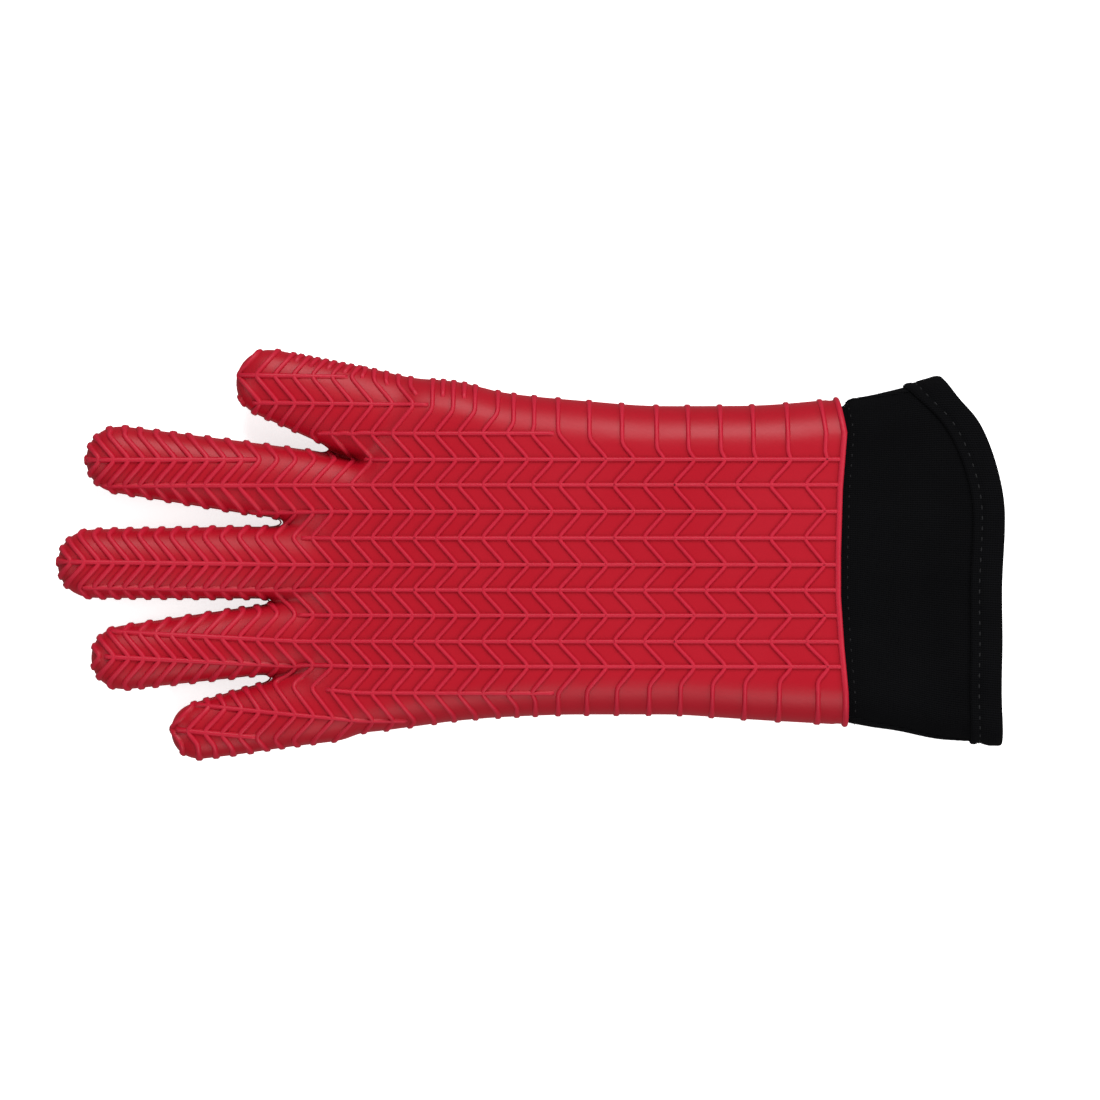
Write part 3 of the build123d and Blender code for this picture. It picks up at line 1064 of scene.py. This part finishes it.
def stitch_mesh(name, centres, ups, along, length, radius):
    """A row of small rounded stitches, each a bent capsule pulled into the cloth at both ends."""
    verts, faces = [], []
    sides, slices = 8, 7
    for centre, up, way in zip(centres, ups, along):
        across = np.cross(way, up)
        base = len(verts)
        for i in range(slices):
            t = -1 + 2 * i / (slices - 1)
            wide = radius * math.sqrt(max(0.0, 1 - abs(t) ** 3)) + radius * 0.05
            mid = centre + way * (t * length / 2) + up * (radius * (0.55 - 0.9 * t * t))
            for k in range(sides):
                turn = 2 * math.pi * k / sides
                verts.append(mid + (across * math.cos(turn) + up * math.sin(turn)) * wide)
        for i in range(slices - 1):
            for k in range(sides):
                j = (k + 1) % sides
                a = base + i * sides
                faces.append((a + k, a + j, a + sides + j, a + sides + k))
        faces.append(tuple(base + k for k in range(sides - 1, -1, -1)))
        faces.append(tuple(base + (slices - 1) * sides + k for k in range(sides)))
    mesh = bpy.data.meshes.new(name)
    mesh.from_pydata([tuple(v * MM) for v in verts], [], faces)
    mesh.shade_smooth()
    return mesh


def stitch_row(name, line, count, length, radius):
    share = (np.arange(count) + 0.5) / count
    centres, ups = line(share)
    before, _ = line(share - 0.002)
    after, _ = line(share + 0.002)
    along = after - before
    along /= np.linalg.norm(along, axis=1)[:, None]
    return stitch_mesh(name, centres, ups, along, length, radius)


def seam_mesh(name, share):
    """A closed seam ridge along the sleeve, from under the silicone to the hem."""
    end = around(HEM_WIDTH + 0.6, np.array([share]), 0.0)[0][0, 0]
    xs = np.linspace(CUFF + 1.5, end, 60)
    at, up = tube_at(xs, np.full(60, share), 0.0)
    along = np.gradient(at, axis=0)
    along /= np.linalg.norm(along, axis=1)[:, None]
    across = np.cross(along, up)
    builder = Builder()
    rows = []
    for i in range(10):
        turn = 2 * math.pi * i / 10
        swell = 1 + 0.12 * np.sin(xs * 2.4)[:, None]
        rows.append(at + across * (1.0 * math.cos(turn)) * swell + up * (0.55 * math.sin(turn)) * swell)
    rows = np.stack(rows + rows[:1], 1)
    builder.strip(rows, False, [0.0] * 11)
    return plan_uv(builder.mesh(name))


def plan_uv(mesh):
    """Lays the knit on a mesh from above."""
    layer = mesh.uv_layers.new(name="knit")
    spots = [mesh.vertices[l.vertex_index].co for l in mesh.loops]
    layer.data.foreach_set("uv", np.array([(p.x, p.y) for p in spots], np.float32).reshape(-1))
    return mesh


def place(name, mesh, material, slot, replaces):
    """A finished piece in the scene, with its material and the CAD node that it stands for."""
    obj = bpy.data.objects.new(name, mesh)
    bpy.context.scene.collection.objects.link(obj)
    mesh.materials.clear()
    mesh.materials.append(material)
    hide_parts(*replaces)
    return obj


def carry(obj, piece):
    """Makes the hand piece follow the hand body; the other pieces only have their placement baked into their
    points.
    """
    if piece == "hand":
        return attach(obj, "hand")
    if piece == "gauntlet":
        height = JOINTS["wrist_fold"]["pos_m"][2]
        start = (WRIST_CUT * MM, 0, height)
        end = ((2 * WRIST_X - WRIST_CUT) * MM, 0, height)
        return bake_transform(obj)
    name, part = piece.rsplit("_", 1)
    finger = FINGER[name]
    if part == "root":
        start, end = finger.hinges[0] - finger.soft, finger.hinges[0] + finger.soft
        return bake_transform(obj, "hand", f"{name}_root", start=finger.point(start), end=finger.point(end))
    soft = min(7.0, finger.hinges[1] - finger.part)
    start, end = finger.hinges[1] - soft, finger.hinges[1] + soft
    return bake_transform(obj, f"{name}_root", f"{name}_tip", start=finger.point(start), end=finger.point(end))


# ---- Silicone --------------------------------------------------------------------------------

skin = skin_mesh("skin", RIB_HEIGHT, CUFF + 6.0, 1.2, 8)
cut_mesh(skin, CUFF - 1.0)
surface = arrays(skin)
builders = [Builder() for _ in PIECES]
add_base(builders, *surface[:2])
add_ribs(builders, surface)
parting_line(builders, surface)
add_rim(builders[1], surface)
builders[1].verts = [wave_cuff(np.array(block)) for block in builders[1].verts]
for piece, builder in zip(PIECES, builders):
    name = f"silicone_{piece}"
    carry(place(name, builder.mesh(name), SILICONE_RED, "silicone", [f"{piece}_silicone"]), piece)

# ---- Liner -----------------------------------------------------------------------------------


def thicken(verts, tris, normals):
    """A closed shell of cloth: the outer faces, the inner faces, and a rim along the open edges."""
    inner = verts - normals * FABRIC
    count = len(verts)
    edges = {}
    for a, b, c in tris:
        for first, second in ((a, b), (b, c), (c, a)):
            edges[(first, second)] = True
    rim = [(a, b) for a, b in edges if (b, a) not in edges]
    faces = [tuple(t) for t in tris] + [(t[2] + count, t[1] + count, t[0] + count) for t in tris]
    faces += [(b, a, a + count, b + count) for a, b in rim]
    return np.vstack([verts, inner]), faces


def liner_pieces():
    mesh = skin_mesh("lining", LINER_IN, JOIN + 6.0, 2.2, 6)
    cut_mesh(mesh, JOIN - 0.5)
    verts, tris, normals = arrays(mesh)
    regions = split_faces(verts, tris)
    for number, piece in enumerate(PIECES):
        mine = tris[regions == number]
        used, new = np.unique(mine, return_inverse=True)
        points, faces = thicken(verts[used], new.reshape(-1, 3), normals[used])
        made = bpy.data.meshes.new(f"liner_{piece}")
        made.from_pydata([tuple(p) for p in points * MM], [], faces)
        made.shade_smooth()
        obj = place(f"liner_{piece}", plan_uv(made), LINER_KNIT, "liner_knit", [f"{piece}_liner"])
        carry(obj, piece)


liner_pieces()

# ---- Sleeve, hem, seams and thread -----------------------------------------------------------

sleeve = place("sleeve_knit", sleeve_mesh(), SLEEVE_KNIT, "sleeve_knit", ["sleeve"])
hem = place("hem_knit", hem_mesh(), HEM_KNIT, "hem_knit", ["hem"])
hem_thread = stitch_row("hem_thread", lambda s: around(8.6, s, 0.55), 78, 1.9, 0.27)
hem_thread = place("hem_thread", hem_thread, THREAD_GREY, "thread", ["hem_stitching"])
cuff_thread = stitch_row("cuff_thread", cuff_line, 72, 1.3, 0.2)
cuff_thread = place("cuff_thread", cuff_thread, THREAD_GREY, "thread", ["cuff_stitching"])
thumb_seam = seam_mesh("thumb_seam", 0.405)
thumb_seam = place("thumb_seam", thumb_seam, HEM_KNIT, "hem_knit", ["thumb_side_seam"])
little_seam = seam_mesh("little_seam", 0.95)
little_seam = place("little_seam", little_seam, HEM_KNIT, "hem_knit", ["little_side_seam"])
for piece in (sleeve, hem, hem_thread, cuff_thread, thumb_seam, little_seam):
    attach(piece, "gauntlet")

# ---- Floor, light and camera -----------------------------------------------------------------


# just under the lowest rib
FLOOR_Z = -0.0007


def floor():
    mesh = bpy.data.meshes.new("floor")
    corners = [(x, y, FLOOR_Z) for x, y in ((-6, -6), (6, -6), (6, 6), (-6, 6))]
    mesh.from_pydata(corners, [], [(0, 1, 2, 3)])
    obj = bpy.data.objects.new("floor", mesh)
    bpy.context.scene.collection.objects.link(obj)
    n = Nodes("floor_white")
    glow = dict(Emission_Color=(1, 1, 1, 1), Emission_Strength=0.72)
    white = n.set(Base_Color=(0.93, 0.93, 0.93, 1), Roughness=0.9, Specular_IOR_Level=0.0, **glow)
    mesh.materials.append(white)
    obj.visible_diffuse = False
    obj.visible_glossy = False


def lamp(name, place, aim, size, power):
    light = bpy.data.lights.new(name, "AREA")
    light.shape = "DISK"
    light.size = size
    light.energy = power
    obj = bpy.data.objects.new(name, light)
    obj.location = place
    obj.rotation_mode = "QUATERNION"
    obj.rotation_quaternion = (Vector(aim) - Vector(place)).to_track_quat("-Z", "Y")
    bpy.context.scene.collection.objects.link(obj)


floor()
lamp("key", (0.1, 1.7, 1.5), (0, 0, 0), 1.4, 46)
lamp("fill", (0.5, -1.8, 1.3), (0, 0, 0), 1.4, 27)
lamp("left", (-1.9, -0.2, 1.2), (0, 0, 0), 1.2, 11)
lamp("right", (1.9, 0.2, 1.2), (0, 0, 0), 1.2, 21)
world = bpy.data.worlds.new("studio")
world.use_nodes = True
world.node_tree.nodes["Background"].inputs[0].default_value = (1, 1, 1, 1)
world.node_tree.nodes["Background"].inputs[1].default_value = 0.25
bpy.context.scene.world = world
bpy.context.scene.view_settings.view_transform = "Standard"

camera = bpy.data.objects.new("camera", bpy.data.cameras.new("camera"))
bpy.context.scene.collection.objects.link(camera)
camera.data.sensor_width = 36.0
camera.data.lens = 174.0
camera.location = (0.0077, 0.0013, 2.01)
camera.data.clip_end = 20.0
bpy.context.scene.camera = camera
